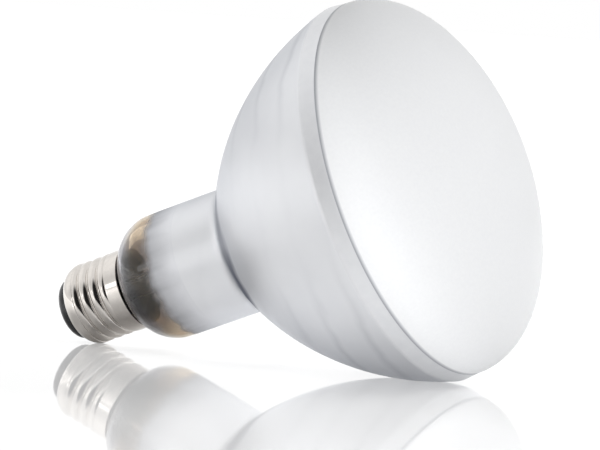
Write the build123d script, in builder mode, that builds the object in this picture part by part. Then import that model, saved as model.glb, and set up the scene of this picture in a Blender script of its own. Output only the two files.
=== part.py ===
"""Self-ballasted mercury vapour reflector bulb with a screw cap, lying on its side as it comes to rest."""

import os
from math import asin, atan2, cos, degrees, hypot, radians, sin, sqrt

from build123d import *

os.makedirs("parts", exist_ok=True)

# Driving dimensions in millimetres.
# Heights run along the bulb's axis: 0 at the rim of the cap's skirt, positive towards the face.

# Glass envelope
glass_wall = 1.1
rim_radius = 60.5  # widest circle, at the crease between bowl and band
rim_height = 96.9
bowl_radius = 90.0  # arc of the reflector bowl, seen in section
bowl_slope = 14.0  # degrees between bowl and axis at the crease
band_length = 5.1
face_radius = 59.9  # edge of the frosted face
dome_height = 29.8
neck_radius = 20.3
throat_radius = 5.0  # hollow round between neck and bowl
shoulder_height = 12.6  # where the round shoulder reaches the neck's radius
foot_radius = 12.7  # where the shoulder starts, just above the skirt
foot_height = 0.5
ledge_slope = 0.3
tail_radius = 11.1  # neck end inside the cap
tail_height = -10.0

# Screw cap, Edison size 27
thread_pitch = 3.629
root_radius = 12.1
crest_height = 1.05
crest_width = 3.3
crest_sink = 0.3  # how far the rolled crest's foot lies inside the shell's wall
thread_turn = 214  # degrees round the axis to where the thread starts on the nose
skirt_radius = 13.2
skirt_length = 4.7
skirt_wall = 0.6
skirt_gap = 0.3  # shell bore to the step under the skirt
shell_length = 21.6
shell_bore = 11.6
nose_round = 5.2
nose_height = -17.2  # where the nose's round starts
nose_land = 0.2  # plain ring between the nose's round and the first groove
lip_bore = 10.1
lip_length = 4.0  # cone inside the nose that holds the insulator

# Insulator and contact
insulator_seat = 0.4  # straight side of the glass above the cone
insulator_end_radius = 6.4
insulator_end_height = -25.2
insulator_bulge = 1.4
cement_groove = 0.6  # radius of the groove in the cement for the side lead
contact_chamfer = 0.3
contact_radius = 4.8
contact_thickness = 0.9
solder_radius = 2.4
solder_height = 1.1
side_solder_radius = 1.5
side_solder_height = -1.5

# Stem
stem_radius = 5.5
stem_wall = 1.1
press_height = 13.0
press_length = 9.0
press_width = 15.0
press_thickness = 4.0
button_radius = 7.0  # glass button on the press that carries the support wires
button_length = 4.0
exhaust_radius = 1.8
exhaust_wall = 0.6
exhaust_tip_height = -10.5

# Wires
lead_radius = 0.35
side_lead_radius = 0.2
lead_offset = 3.1
lead_seat = 3.0  # depth of each wire in its glass
lead_bend_height = -11.5
lead_bend_radius = 1.0
lead_end_height = -16.5  # where the centre lead meets the axis
side_lead_bend_height = -15.0
side_lead_bend_radius = 0.5
rod_radius = 0.75
rod_seat_offset = 5.0
rod_bend_radius = 3.0
rod_bend_start = 1.0  # straight length above the button before the bend
rod_bend_drop = 4.0  # from the near pinch's end down to the rods' upper bend
rod_tip = 2.0  # how far each rod runs past what it holds
hook_radius = 0.4
hook_foot_radius = 4.6
hook_bend_drop = 5.0  # from the filament down to the hook's upper bend
hook_bend_radius = 2.0
hook_tip = 1.5
hook_gap = 0.05  # hook to filament
hook_angles = (70, 110, 250, 290)
filament_lead_radius = 0.5

# Arc tube
arc_start_height = 44.0  # ends of the discharge space
arc_end_height = 78.0
arc_radius = 6.0
quartz_wall = 1.0
arc_end_round = 4.0
pinch_length = 10.0
pinch_width = 11.0
pinch_thickness = 3.4
electrode_radius = 0.4
electrode_reach = 6.0  # how far each main electrode stands in the discharge space
coil_radius = 1.2
coil_length = 3.6
foil_length = 4.6
foil_width = 3.0
foil_thickness = 0.2
foil_margin = 1.4  # quartz between the foil and the pinch's end
arc_lead_drop = 3.0
starter_radius = 0.25
starter_offset = 2.6
starter_reach = 4.0
starter_drop = 3.6
resistor_radius = 1.1
resistor_drop = 1.3  # resistor's axis below the pinch
mercury_radius = 1.1
mercury_gap = 0.05

# Straps and ballast filament
strap_wall = 0.7
strap_length = 3.0
strap_ear = 1.1  # metal around the rod's hole
short_rod_offset = 7.9
long_rod_offset = 9.6
filament_radius = 15.0  # ring of the coil round the arc tube
filament_coil_radius = 0.7
filament_height = 50.0
filament_start = 195
filament_end = 510


def on_circle(centre, towards, radius):
    """Point on a circle in the section, on the line from its centre towards another point."""
    run = hypot(towards[0] - centre[0], towards[1] - centre[1])
    return (
        centre[0] + (towards[0] - centre[0]) * radius / run,
        centre[1] + (towards[1] - centre[1]) * radius / run,
    )


def angle_of(centre, point):
    """Direction of a point from a centre in the section, in degrees."""
    return degrees(atan2(point[1] - centre[1], point[0] - centre[0]))


def round_arc(centre, radius, first, last):
    """Arc about a centre from the direction of one point to the direction of another."""
    start = angle_of(centre, first)
    CenterArc(centre, radius, start, angle_of(centre, last) - start)


def quarter_ellipse(radius, height, rise):
    """Quarter of an ellipse from its edge at a height to the axis."""
    Bezier((radius, height), (radius, height + rise), (0, height + rise), weights=(1, sqrt(0.5), 1))


# Centres of the envelope's arcs, as (radius, height)
rim = (rim_radius, rim_height)
bowl_centre = (
    rim_radius - bowl_radius * cos(radians(bowl_slope)),
    rim_height + bowl_radius * sin(radians(bowl_slope)),
)
throat_centre_radius = neck_radius + throat_radius
throat_height = bowl_centre[1] - sqrt(
    (bowl_radius + throat_radius) ** 2 - (throat_centre_radius - bowl_centre[0]) ** 2
)
throat_centre = (throat_centre_radius, throat_height)
foot = (foot_radius, foot_height)
shoulder_rise = neck_radius - foot_radius
shoulder_radius = (shoulder_rise**2 + (shoulder_height - foot_height) ** 2) / (2 * shoulder_rise)
shoulder_centre = (neck_radius - shoulder_radius, shoulder_height)
face_height = rim_height + band_length

# The bulb rests on its nose ring and on its bowl, so its tilt is the slope of their common tangent
nose_centre = (skirt_radius - nose_round, nose_height)
rise = bowl_centre[0] - nose_centre[0]
run = bowl_centre[1] - nose_centre[1]
tilt = atan2(rise, run) + asin((bowl_radius - nose_round) / hypot(rise, run))
contact_height = insulator_end_height - contact_thickness
face_reach = face_height * cos(tilt) + hypot(dome_height * cos(tilt), face_radius * sin(tilt))
contact_reach = contact_height * cos(tilt) - (contact_radius - contact_chamfer) * sin(tilt)
axis_direction = Vector(cos(tilt), 0, sin(tilt))
up_direction = Vector(-sin(tilt), 0, cos(tilt))
front_direction = Vector(0, -1, 0)
skirt_centre = Vector(
    -(face_reach + contact_reach) / 2,
    0,
    bowl_radius + bowl_centre[0] * cos(tilt) - bowl_centre[1] * sin(tilt),
)
bulb_axis = Axis(skirt_centre, axis_direction)

# Half section of the bulb: local x is the radius, local y the height
section = Plane(skirt_centre, x_dir=up_direction, z_dir=-front_direction)


def across(height):
    """Plane square to the axis: local x points up the section, local y to the front."""
    return Plane(skirt_centre + axis_direction * height, x_dir=up_direction, z_dir=axis_direction)


def beside(offset):
    """Plane along the axis: local x points to the back, local y along the axis."""
    return Plane(skirt_centre + up_direction * offset, x_dir=-front_direction, z_dir=-up_direction)


def through(angle):
    """Half section turned about the axis by an angle in degrees."""
    outwards = up_direction * cos(radians(angle)) + front_direction * sin(radians(angle))
    return Plane(skirt_centre, x_dir=outwards, z_dir=outwards.cross(axis_direction))


def wire_end(line):
    """Plane square to the start of a wire's path."""
    return Plane(origin=line @ 0, z_dir=line % 0)


def on_section(offset, height):
    """Point at an offset up the section and a height along the axis."""
    return skirt_centre + up_direction * offset + axis_direction * height


def envelope_wall(inset):
    """One face of the glass in section, from the tail to the top of the dome."""
    shoulder = on_circle(shoulder_centre, foot, shoulder_radius - inset)
    rim_point = on_circle(bowl_centre, rim, bowl_radius - inset)
    throat_point = on_circle(bowl_centre, throat_centre, bowl_radius - inset)
    tail = tail_radius - inset
    tail_top = shoulder[1] - (shoulder[0] - tail) * ledge_slope
    neck = neck_radius - inset
    Polyline((tail, tail_height), (tail, tail_top), shoulder)
    round_arc(shoulder_centre, shoulder_radius - inset, foot, (neck_radius, shoulder_height))
    Line((neck, shoulder_height), (neck, throat_height))
    round_arc(throat_centre, throat_radius + inset, (neck_radius, throat_height), bowl_centre)
    round_arc(bowl_centre, bowl_radius - inset, throat_point, rim_point)
    Line(rim_point, (face_radius - inset, face_height))
    quarter_ellipse(face_radius - inset, face_height, dome_height - inset)


# Glass envelope: neck, reflector bowl, band and domed face, blown as one piece
with BuildPart() as envelope:
    with BuildSketch(section):
        with BuildLine():
            envelope_wall(0)
            envelope_wall(glass_wall)
            Line((tail_radius, tail_height), (tail_radius - glass_wall, tail_height))
            Line((0, face_height + dome_height), (0, face_height + dome_height - glass_wall))
        make_face()
    revolve(axis=bulb_axis)
envelope.part.label = "envelope"
export_step(envelope.part, "parts/envelope.step")

# Hole in the skirt's back for the side lead
side_lead_exit = Plane(on_section(-lead_offset, side_solder_height), z_dir=-front_direction)

# Rolled shell, upright on its own axis: brass with a round helical thread, a plain skirt and a rounded nose
nose_turn = asin((shell_length + nose_height) / nose_round)
nose_end = nose_centre[0] + nose_round * cos(nose_turn)
land_height = nose_height + nose_land
crest_round = (crest_width**2 / 4 + crest_height**2) / (2 * crest_height)
crest_foot = sqrt(crest_round**2 - (crest_round - crest_height - crest_sink) ** 2)
crest_start = land_height - crest_foot - crest_sink
crest_end = -crest_foot - crest_sink
skirt_bore = skirt_radius - skirt_wall
with BuildPart() as rolled_shell:
    with BuildSketch(Plane.XZ):
        with BuildLine():
            Polyline(
                (0, -shell_length),
                (skirt_radius, -shell_length),
                (skirt_radius, land_height),
                (root_radius, land_height),
                (root_radius, -skirt_length),
                (skirt_radius, -skirt_length),
                (skirt_radius, 0),
                (0, 0),
                close=True,
            )
        make_face()
    revolve(axis=Axis.Z)
    with BuildLine() as crest_path:
        Helix(thread_pitch, crest_end - crest_start, root_radius, center=(0, 0, crest_start))
    crest_point = crest_path.line @ 0
    with BuildSketch(Plane(crest_point, x_dir=(1, 0, 0), z_dir=crest_path.line % 0)):
        with BuildLine():
            ThreePointArc((-crest_sink, -crest_foot), (crest_height, 0), (-crest_sink, crest_foot))
            Line((-crest_sink, crest_foot), (-crest_sink, -crest_foot))
        make_face()
    sweep(path=crest_path.line, is_frenet=True)
    with BuildSketch(Plane.XZ):
        with BuildLine():
            CenterArc(nose_centre, nose_round, -degrees(nose_turn), degrees(nose_turn))
            Polyline(
                (skirt_radius, nose_height),
                (skirt_radius + nose_round, nose_height),
                (skirt_radius + nose_round, -shell_length),
                (nose_end, -shell_length),
            )
        make_face()
    revolve(axis=Axis.Z, mode=Mode.SUBTRACT)
    with BuildSketch(Plane.XZ):
        with BuildLine():
            Polyline(
                (0, -shell_length),
                (lip_bore, -shell_length),
                (shell_bore, lip_length - shell_length),
                (shell_bore, skirt_gap - skirt_length),
                (skirt_bore, skirt_gap - skirt_length),
                (skirt_bore, 0),
                (0, 0),
                close=True,
            )
        make_face()
    revolve(axis=Axis.Z, mode=Mode.SUBTRACT)

# Screw shell: the rolled shell turned to where its thread starts and laid on the bulb's axis, with the side
# lead's hole
with BuildPart() as screw_shell:
    add(rolled_shell.part.rotate(Axis.Z, thread_turn).moved(Location(across(0))))
    with BuildSketch(side_lead_exit):
        Circle(side_lead_radius)
    extrude(amount=skirt_radius, mode=Mode.SUBTRACT)
screw_shell.part.label = "screw_shell"
export_step(screw_shell.part, "parts/screw_shell.step")

# Capping cement between the neck's tail and the shell, with a groove for the side lead
cement_top = skirt_gap - skirt_length
cement_length = cement_top - tail_height
side_lead_back = sqrt(((tail_radius + shell_bore) / 2) ** 2 - lead_offset**2)
with BuildPart() as capping_cement:
    with BuildSketch(across(tail_height)):
        Circle(shell_bore)
        Circle(tail_radius, mode=Mode.SUBTRACT)
        with Locations((-lead_offset, -side_lead_back)):
            Circle(cement_groove, mode=Mode.SUBTRACT)
    extrude(amount=cement_length)
capping_cement.part.label = "capping_cement"
export_step(capping_cement.part, "parts/capping_cement.step")

# Insulator: black glass poured into the shell's end, with a hole for the centre lead
seat_height = lip_length - shell_length
with BuildPart() as insulator:
    with BuildSketch(section):
        with BuildLine():
            Polyline(
                (lip_bore, -shell_length),
                (shell_bore, seat_height),
                (shell_bore, seat_height + insulator_seat),
                (lead_radius, seat_height + insulator_seat),
                (lead_radius, insulator_end_height),
                (insulator_end_radius, insulator_end_height),
            )
            SagittaArc(
                (insulator_end_radius, insulator_end_height), (lip_bore, -shell_length), -insulator_bulge
            )
        make_face()
    revolve(axis=bulb_axis)
insulator.part.label = "insulator"
export_step(insulator.part, "parts/insulator.step")

# Centre contact: brass disc on the insulator's end
with BuildPart() as centre_contact:
    with BuildSketch(across(insulator_end_height)):
        Circle(contact_radius)
        Circle(lead_radius, mode=Mode.SUBTRACT)
    extrude(amount=-contact_thickness)
    outer_edge = centre_contact.edges().filter_by(GeomType.CIRCLE).sort_by(SortBy.RADIUS)[-2:]
    chamfer(outer_edge.sort_by(bulb_axis)[0], contact_chamfer)
centre_contact.part.label = "centre_contact"
export_step(centre_contact.part, "parts/centre_contact.step")

# Solder on the centre contact
with BuildPart() as contact_solder:
    with BuildSketch(section):
        with BuildLine():
            Line((0, contact_height - solder_height), (0, contact_height))
            Line((0, contact_height), (solder_radius, contact_height))
            quarter_ellipse(solder_radius, contact_height, -solder_height)
        make_face()
    revolve(axis=bulb_axis)
contact_solder.part.label = "contact_solder"
export_step(contact_solder.part, "parts/contact_solder.step")

# Side lead: out of the stem, round the neck's tail and through the skirt to its solder
side_solder_back = sqrt(skirt_radius**2 - lead_offset**2)
with BuildPart() as side_lead:
    with BuildLine(beside(-lead_offset)) as side_path:
        FilletPolyline(
            (0, press_height + lead_seat),
            (0, lead_bend_height),
            (side_lead_back, side_lead_bend_height),
            (side_lead_back, side_solder_height),
            (side_solder_back - side_lead_radius, side_solder_height),
            radius=side_lead_bend_radius,
        )
    with BuildSketch(wire_end(side_path.line)):
        Circle(side_lead_radius)
    sweep(path=side_path.line)
side_lead.part.label = "side_lead"
export_step(side_lead.part, "parts/side_lead.step")

# Solder that joins the side lead to the skirt
with BuildPart() as side_solder:
    with BuildSketch(side_lead_exit.offset(side_solder_back)):
        Circle(side_solder_radius)
    extrude(amount=side_solder_radius / 2, both=True)
    fillet(side_solder.edges().sort_by(Axis.Y)[-1], side_solder_radius / 3)
    with BuildSketch(across(side_solder_height - 2 * side_solder_radius)):
        Circle(skirt_radius)
    extrude(amount=4 * side_solder_radius, mode=Mode.SUBTRACT)
side_solder.part.label = "side_solder"
export_step(side_solder.part, "parts/side_solder.step")

# Stem: flare sealed to the neck's tail, tube, flat press and the button that carries the wires
press_top = press_height + press_length
button_top = press_top + button_length
rod_foot = press_top - lead_seat
flare_round = tail_radius - glass_wall - stem_radius
flare_centre = (stem_radius + flare_round, tail_height + flare_round)
with BuildPart() as stem:
    with BuildSketch(section):
        with BuildLine():
            Line((tail_radius, tail_height), (flare_centre[0], tail_height))
            CenterArc(flare_centre, flare_round, -90, -90)
            Polyline(
                (stem_radius, flare_centre[1]),
                (stem_radius, press_height + stem_wall),
                (0, press_height + stem_wall),
                (0, press_height),
                (stem_radius - stem_wall, press_height),
                (stem_radius - stem_wall, flare_centre[1]),
            )
            CenterArc(flare_centre, flare_round + stem_wall, 180, 90)
            Polyline(
                (flare_centre[0], tail_height - stem_wall),
                (tail_radius, tail_height - stem_wall),
                (tail_radius, tail_height),
            )
        make_face()
    revolve(axis=bulb_axis)
    with BuildSketch(across(press_height)):
        Rectangle(press_width, press_thickness)
    extrude(amount=press_length)
    with BuildSketch(across(press_top)):
        Circle(button_radius)
    extrude(amount=button_length)
    with BuildSketch(across(press_height)):
        with Locations((lead_offset, 0)):
            Circle(lead_radius)
        with Locations((-lead_offset, 0)):
            Circle(side_lead_radius)
    extrude(amount=lead_seat, mode=Mode.SUBTRACT)
    with BuildSketch(across(button_top)):
        with Locations((rod_seat_offset, 0), (-rod_seat_offset, 0)):
            Circle(rod_radius)
    extrude(amount=rod_foot - button_top, mode=Mode.SUBTRACT)
    with BuildSketch(across(button_top)):
        for angle in hook_angles:
            with PolarLocations(hook_foot_radius, 1, start_angle=angle):
                Circle(hook_radius)
        with PolarLocations(hook_foot_radius, 1, start_angle=filament_end):
            Circle(filament_lead_radius)
    extrude(amount=-lead_seat, mode=Mode.SUBTRACT)
stem.part.label = "stem"
export_step(stem.part, "parts/stem.step")

# Exhaust tube, drawn off to a round tip below the stem
exhaust_bore = exhaust_radius - exhaust_wall
exhaust_centre = (0, exhaust_tip_height + exhaust_radius)
with BuildPart() as exhaust_tube:
    with BuildSketch(section):
        with BuildLine():
            CenterArc(exhaust_centre, exhaust_radius, -90, 90)
            CenterArc(exhaust_centre, exhaust_bore, -90, 90)
            Line((0, exhaust_tip_height), (0, exhaust_tip_height + exhaust_wall))
            Polyline(
                (exhaust_radius, exhaust_centre[1]),
                (exhaust_radius, press_height),
                (exhaust_bore, press_height),
                (exhaust_bore, exhaust_centre[1]),
            )
        make_face()
    revolve(axis=bulb_axis)
exhaust_tube.part.label = "exhaust_tube"
export_step(exhaust_tube.part, "parts/exhaust_tube.step")

# Centre lead: out of the stem, across to the axis and through the insulator to the contact
with BuildPart() as centre_lead:
    with BuildLine(section) as centre_path:
        FilletPolyline(
            (lead_offset, press_height + lead_seat),
            (lead_offset, lead_bend_height),
            (0, lead_end_height),
            (0, contact_height),
            radius=lead_bend_radius,
        )
    with BuildSketch(wire_end(centre_path.line)):
        Circle(lead_radius)
    sweep(path=centre_path.line)
centre_lead.part.label = "centre_lead"
export_step(centre_lead.part, "parts/centre_lead.step")

# Frame rods: the long one carries the arc tube's far end, the short one its near end and the filament
near_pinch_end = arc_start_height - pinch_length
far_pinch_end = arc_end_height + pinch_length
rods = {
    "long_frame_rod": (rod_seat_offset, long_rod_offset, far_pinch_end + arc_lead_drop + rod_tip),
    "short_frame_rod": (-rod_seat_offset, -short_rod_offset, filament_height + rod_tip),
}
for rod_name, (foot_offset, offset, top) in rods.items():
    with BuildPart() as frame_rod:
        with BuildLine(section) as rod_path:
            FilletPolyline(
                (foot_offset, rod_foot),
                (foot_offset, button_top + rod_bend_start),
                (offset, near_pinch_end - rod_bend_drop),
                (offset, top),
                radius=rod_bend_radius,
            )
        with BuildSketch(wire_end(rod_path.line)):
            Circle(rod_radius)
        sweep(path=rod_path.line)
    frame_rod.part.label = rod_name
    export_step(frame_rod.part, f"parts/{rod_name}.step")


def post_points(radius):
    """Corners of a support wire from the button out to the inside of the filament's ring."""
    offset = filament_radius - filament_coil_radius - hook_gap - radius
    return (
        (hook_foot_radius, button_top - lead_seat),
        (hook_foot_radius, button_top + rod_bend_start),
        (offset, filament_height - hook_bend_drop),
        (offset, filament_height + hook_tip),
    )


# Filament supports: molybdenum wires of one shape, held in the button
with BuildPart() as filament_hooks:
    for angle in hook_angles:
        with BuildLine(through(angle)) as hook_path:
            FilletPolyline(*post_points(hook_radius), radius=hook_bend_radius)
        with BuildSketch(wire_end(hook_path.line)):
            Circle(hook_radius)
        sweep(path=hook_path.line)
filament_hooks.part.label = "filament_hooks"
export_step(filament_hooks.part, "parts/filament_hooks.step")

# Lead that feeds the filament's free end
with BuildPart() as filament_lead:
    with BuildLine(through(filament_end)) as feed_path:
        FilletPolyline(*post_points(filament_lead_radius), radius=hook_bend_radius)
    with BuildSketch(wire_end(feed_path.line)):
        Circle(filament_lead_radius)
    sweep(path=feed_path.line)
filament_lead.part.label = "filament_lead"
export_step(filament_lead.part, "parts/filament_lead.step")

# Ballast filament: tungsten coil in an open ring, with a tail to the short rod
with BuildPart() as ballast_filament:
    with BuildLine(across(filament_height)) as ring_path:
        CenterArc((0, 0), filament_radius, filament_start, filament_end - filament_start)
    with BuildSketch(wire_end(ring_path.line)):
        Circle(filament_coil_radius)
    sweep(path=ring_path.line)
    ring_start = ring_path.line @ 0
    rod_centre = on_section(-short_rod_offset, filament_height)
    tail_run = rod_centre - ring_start
    with BuildSketch(Plane(ring_start, z_dir=tail_run)):
        Circle(filament_coil_radius / 2)
    extrude(amount=tail_run.length - rod_radius)
ballast_filament.part.label = "ballast_filament"
export_step(ballast_filament.part, "parts/ballast_filament.step")

# Arc tube: quartz, pinched flat at both ends round the foils, electrodes and leads
# Each end is (name, edge of the discharge space, direction towards the pinch's end, rod offset)
arc_ends = (
    ("near", arc_start_height, -1, -short_rod_offset),
    ("far", arc_end_height, 1, long_rod_offset),
)
arc_middle = (arc_start_height + arc_end_height) / 2
arc_length = arc_end_height - arc_start_height
arc_bore = arc_radius - quartz_wall
electrode_seat = pinch_length - foil_margin - foil_length
with BuildPart() as arc_tube:
    with BuildSketch(section) as arc_outside:
        with Locations((arc_radius / 2, arc_middle)):
            Rectangle(arc_radius, arc_length + 2 * quartz_wall)
        fillet(arc_outside.vertices().group_by(Axis.X)[-1], arc_end_round)
    revolve(axis=bulb_axis)
    for end_name, edge, way, rod_offset in arc_ends:
        with BuildSketch(across(edge)):
            Rectangle(pinch_width, pinch_thickness)
        extrude(amount=way * pinch_length)
    with BuildSketch(section) as arc_inside:
        with Locations((arc_bore / 2, arc_middle)):
            Rectangle(arc_bore, arc_length)
        fillet(arc_inside.vertices().group_by(Axis.X)[-1], arc_end_round - quartz_wall)
    revolve(axis=bulb_axis, mode=Mode.SUBTRACT)
    for end_name, edge, way, rod_offset in arc_ends:
        with BuildSketch(across(edge)):
            Circle(electrode_radius)
        extrude(amount=way * electrode_seat, mode=Mode.SUBTRACT)
        with BuildSketch(across(edge + way * electrode_seat)):
            Rectangle(foil_width, foil_thickness)
        extrude(amount=way * foil_length, mode=Mode.SUBTRACT)
        with BuildSketch(across(edge + way * pinch_length)):
            Circle(lead_radius)
        extrude(amount=-way * foil_margin, mode=Mode.SUBTRACT)
    with BuildSketch(across(arc_start_height + arc_end_round)):
        with Locations((starter_offset, 0)):
            Circle(starter_radius)
    extrude(amount=-pinch_length - arc_end_round, mode=Mode.SUBTRACT)
arc_tube.part.label = "arc_tube"
export_step(arc_tube.part, "parts/arc_tube.step")

for end_name, edge, way, rod_offset in arc_ends:
    # Main electrode: tungsten rod with a wound coil at its tip
    coil_foot = edge - way * (electrode_reach - coil_length)
    with BuildPart() as electrode:
        with BuildSketch(across(edge + way * electrode_seat)):
            Circle(electrode_radius)
        extrude(amount=-way * (electrode_seat + electrode_reach))
        with BuildSketch(across(coil_foot)):
            Circle(coil_radius)
        extrude(amount=-way * coil_length)
    electrode.part.label = f"{end_name}_electrode"
    export_step(electrode.part, f"parts/{end_name}_electrode.step")

    # Molybdenum foil that seals the pinch
    with BuildPart() as foil:
        with BuildSketch(across(edge + way * electrode_seat)):
            Rectangle(foil_width, foil_thickness)
        extrude(amount=way * foil_length)
    foil.part.label = f"{end_name}_foil"
    export_step(foil.part, f"parts/{end_name}_foil.step")

    # Lead from the foil to the frame rod
    rod_side = rod_offset - rod_radius if rod_offset > 0 else rod_offset + rod_radius
    pinch_end = edge + way * pinch_length
    with BuildPart() as arc_lead:
        with BuildLine(section) as lead_path:
            FilletPolyline(
                (0, pinch_end - way * foil_margin),
                (0, pinch_end + way * arc_lead_drop),
                (rod_side, pinch_end + way * arc_lead_drop),
                radius=lead_bend_radius,
            )
        with BuildSketch(wire_end(lead_path.line)):
            Circle(lead_radius)
        sweep(path=lead_path.line)
    arc_lead.part.label = f"{end_name}_arc_lead"
    export_step(arc_lead.part, f"parts/{end_name}_arc_lead.step")

    # Strap round the pinch, with an ear on the frame rod
    ear_end = abs(rod_offset) + rod_radius + strap_ear
    plain_end = pinch_width / 2 + strap_wall
    ear_side = 1 if rod_offset > 0 else -1
    with BuildPart() as strap:
        with BuildSketch(across(edge + way * (pinch_length - strap_length) / 2)):
            with Locations((ear_side * (ear_end - plain_end) / 2, 0)):
                Rectangle(ear_end + plain_end, pinch_thickness + 2 * strap_wall)
            Rectangle(pinch_width, pinch_thickness, mode=Mode.SUBTRACT)
            with Locations((rod_offset, 0)):
                Circle(rod_radius, mode=Mode.SUBTRACT)
        extrude(amount=way * strap_length)
    strap.part.label = f"{end_name}_strap"
    export_step(strap.part, f"parts/{end_name}_strap.step")

# Starting electrode: thin tungsten wire beside the near main electrode
starter_foot = near_pinch_end - starter_drop
with BuildPart() as starting_electrode:
    with BuildSketch(across(starter_foot)):
        with Locations((starter_offset, 0)):
            Circle(starter_radius)
    extrude(amount=arc_start_height + starter_reach - starter_foot)
starting_electrode.part.label = "starting_electrode"
export_step(starting_electrode.part, "parts/starting_electrode.step")

# Starting resistor between the starting electrode and the long rod
resistor_start = starter_offset + starter_radius
resistor_end = long_rod_offset - rod_radius
with BuildPart() as starting_resistor:
    with BuildSketch(Plane(on_section(resistor_start, near_pinch_end - resistor_drop), z_dir=up_direction)):
        Circle(resistor_radius)
    extrude(amount=resistor_end - resistor_start)
starting_resistor.part.label = "starting_resistor"
export_step(starting_resistor.part, "parts/starting_resistor.step")

# Mercury bead, lying at the low end of the arc tube
bead_offset = -(arc_bore - mercury_radius - mercury_gap)
bead_height = arc_start_height + arc_end_round
with BuildPart() as mercury_bead:
    with Locations(on_section(bead_offset, bead_height)):
        Sphere(mercury_radius)
mercury_bead.part.label = "mercury_bead"
export_step(mercury_bead.part, "parts/mercury_bead.step")
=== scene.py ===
"""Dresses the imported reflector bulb: silvered and frosted glass, nickel screw cap, and a pale studio."""

from math import asin, atan2, cos, hypot, pi, radians, sin, sqrt

import bpy
from mathutils import Matrix, Vector


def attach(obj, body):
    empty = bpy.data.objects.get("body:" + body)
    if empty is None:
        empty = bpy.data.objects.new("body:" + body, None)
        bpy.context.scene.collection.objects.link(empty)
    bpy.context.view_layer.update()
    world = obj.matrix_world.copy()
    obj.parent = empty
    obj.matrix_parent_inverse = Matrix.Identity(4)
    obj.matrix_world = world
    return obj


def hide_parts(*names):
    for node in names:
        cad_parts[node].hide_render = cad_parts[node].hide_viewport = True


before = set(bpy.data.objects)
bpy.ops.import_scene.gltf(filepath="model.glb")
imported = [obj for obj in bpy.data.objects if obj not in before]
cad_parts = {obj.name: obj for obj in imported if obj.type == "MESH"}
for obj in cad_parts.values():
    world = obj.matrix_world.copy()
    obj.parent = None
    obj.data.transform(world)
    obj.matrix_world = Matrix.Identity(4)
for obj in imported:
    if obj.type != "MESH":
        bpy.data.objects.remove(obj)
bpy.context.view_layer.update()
scene = bpy.context.scene
MM = 0.001

# Sizes of the glass in millimetres, as (radius, height), with heights along the axis from the skirt's rim
GLASS_WALL = 1.1
RIM_RADIUS = 60.5
RIM_HEIGHT = 96.9
BOWL_RADIUS = 90.0
BOWL_SLOPE = radians(14.0)
FACE_RADIUS = 59.9
FACE_HEIGHT = 102.0
DOME_HEIGHT = 29.8
NECK_RADIUS = 20.3
CLEAR_END = 26.0
THROAT_RADIUS = 5.0
SHOULDER_HEIGHT = 12.6
FOOT = (12.7, 0.5)
LEDGE_SLOPE = 0.3
TAIL_RADIUS = 11.1
TAIL_HEIGHT = -10.0

# Sizes of the cap in millimetres
THREAD_PITCH = 3.629
CREST_RADIUS = 13.15
CREST_HEIGHT = 1.05
CREST_WIDTH = 3.3
GROOVE_HEIGHT = 2.371  # where the groove's helix crosses the up direction
SKIRT_RADIUS = 13.2
SKIRT_LENGTH = 4.7
SKIRT_BORE = 12.6
SKIRT_STEP = -4.4
SHELL_LENGTH = 21.6
SHELL_BORE = 11.6
SHEET_EDGE = 0.12  # broken edge of the rolled sheet
NOSE_ROUND = 5.2
NOSE_HEIGHT = -17.2
NOSE_LAND = 0.2
LIP_BORE = 10.1
LIP_LENGTH = 4.0
INSULATOR_END = (6.4, -25.2)
INSULATOR_BULGE = 1.4
INSULATOR_SEAT = 0.4
LEAD_BORE = 0.35
CONTACT_RADIUS = 4.8
CONTACT_HEIGHT = -26.1
CONTACT_CHAMFER = 0.3
HAIR = 0.001  # margin that takes the rows of points at the thread's two ends into it

# Points along each stretch of the sections, and steps of each piece round the axis
TAIL_STEPS = 8
SHOULDER_STEPS = 24
NECK_STEPS = 24
THROAT_STEPS = 20
BOWL_STEPS = 72
BAND_STEPS = 6
DOME_STEPS = 64
LIP_STEPS = 4
NOSE_STEPS = 20
EDGE_STEPS = 4
THREAD_STEPS = 150
SKIRT_STEPS = 12
END_STEPS = 6
BULGE_STEPS = 24
GLASS_TURN = 192
SHELL_TURN = 240
INSULATOR_TURN = 96

# The bulb lies on its nose and its bowl: its tilt is the slope of their common tangent
BOWL_CENTRE = (RIM_RADIUS - BOWL_RADIUS * cos(BOWL_SLOPE), RIM_HEIGHT + BOWL_RADIUS * sin(BOWL_SLOPE))
NOSE_CENTRE = (SKIRT_RADIUS - NOSE_ROUND, NOSE_HEIGHT)
throat_reach = NECK_RADIUS + THROAT_RADIUS - BOWL_CENTRE[0]
THROAT_HEIGHT = BOWL_CENTRE[1] - sqrt((BOWL_RADIUS + THROAT_RADIUS) ** 2 - throat_reach**2)
THROAT_CENTRE = (NECK_RADIUS + THROAT_RADIUS, THROAT_HEIGHT)
rise = BOWL_CENTRE[0] - NOSE_CENTRE[0]
run = BOWL_CENTRE[1] - NOSE_CENTRE[1]
TILT = atan2(rise, run) + asin((BOWL_RADIUS - NOSE_ROUND) / hypot(rise, run))
AXIS = Vector((cos(TILT), 0, sin(TILT)))
UP = Vector((-sin(TILT), 0, cos(TILT)))
FRONT = Vector((0, -1, 0))
face_reach = FACE_HEIGHT * cos(TILT) + hypot(DOME_HEIGHT * cos(TILT), FACE_RADIUS * sin(TILT))
contact_reach = CONTACT_HEIGHT * cos(TILT) - (CONTACT_RADIUS - CONTACT_CHAMFER) * sin(TILT)
skirt_lift = BOWL_RADIUS + BOWL_CENTRE[0] * cos(TILT) - BOWL_CENTRE[1] * sin(TILT)
SKIRT_CENTRE = Vector((-(face_reach + contact_reach) / 2, 0, skirt_lift)) * MM
LAID = Matrix.Translation(SKIRT_CENTRE) @ Matrix((UP, FRONT, AXIS)).transposed().to_4x4()


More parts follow.
